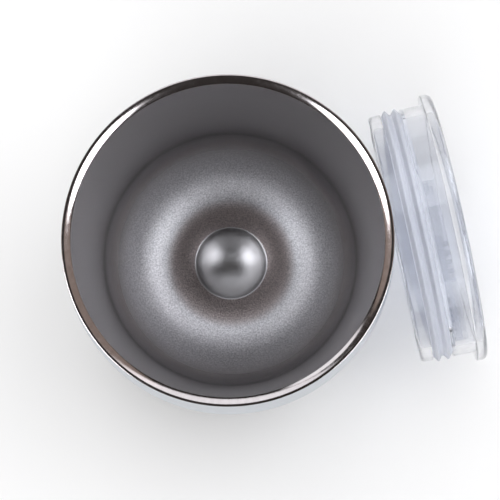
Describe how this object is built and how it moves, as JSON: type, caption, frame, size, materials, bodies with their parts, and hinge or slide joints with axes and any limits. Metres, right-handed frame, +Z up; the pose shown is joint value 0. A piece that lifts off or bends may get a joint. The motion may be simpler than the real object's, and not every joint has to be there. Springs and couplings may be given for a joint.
{
  "type": "insulated tumbler with lid",
  "caption": "Double-walled steel tumbler with a domed bowl floor and a polished rim, beside its clear press-in lid with a sliding closure.",
  "frame": {"origin": "centre of the cup's flat base, on the surface it stands on", "axes": "+Z up along the cup's axis; the lid stands on its edge on the +X side"},
  "size_m": [0.1175, 0.0902, 0.112],
  "materials": {
    "outer_steel": "satin",
    "inner_steel": "satin, finely grained",
    "polished_rim": "polished",
    "foil": "bright foil",
    "soft_pad": "matte",
    "solder_glass": "glassy",
    "getter": "sintered",
    "clear_plastic": "clear, glossy",
    "clear_silicone": "milky, soft",
    "clear_slider": "clear, glossy"
  },
  "bodies": {
    "cup": {"outer_shell": "outer_steel", "inner_liner": "inner_steel", "rim_bead": "polished_rim", "foil_wrap": "foil", "outer_bottom": "outer_steel", "foot_pad": "soft_pad", "vacuum_seal": "solder_glass", "getter_pellet": "getter", "getter_strap": "inner_steel"},
    "lid": {"lid_body": "clear_plastic", "lid_gasket": "clear_silicone"},
    "slider": {"slider": "clear_slider", "slider_seal": "clear_silicone"}
  },
  "joints": [
    {"name": "lid_lift", "type": "slide", "parent": "cup", "child": "lid", "axis": [0, 0, 1], "range_m": [0, 0.12]},
    {"name": "slider_slide", "type": "slide", "parent": "lid", "child": "slider", "axis": [-0.2079, 0.9781, 0], "range_m": [0, 0.013]}
  ]
}
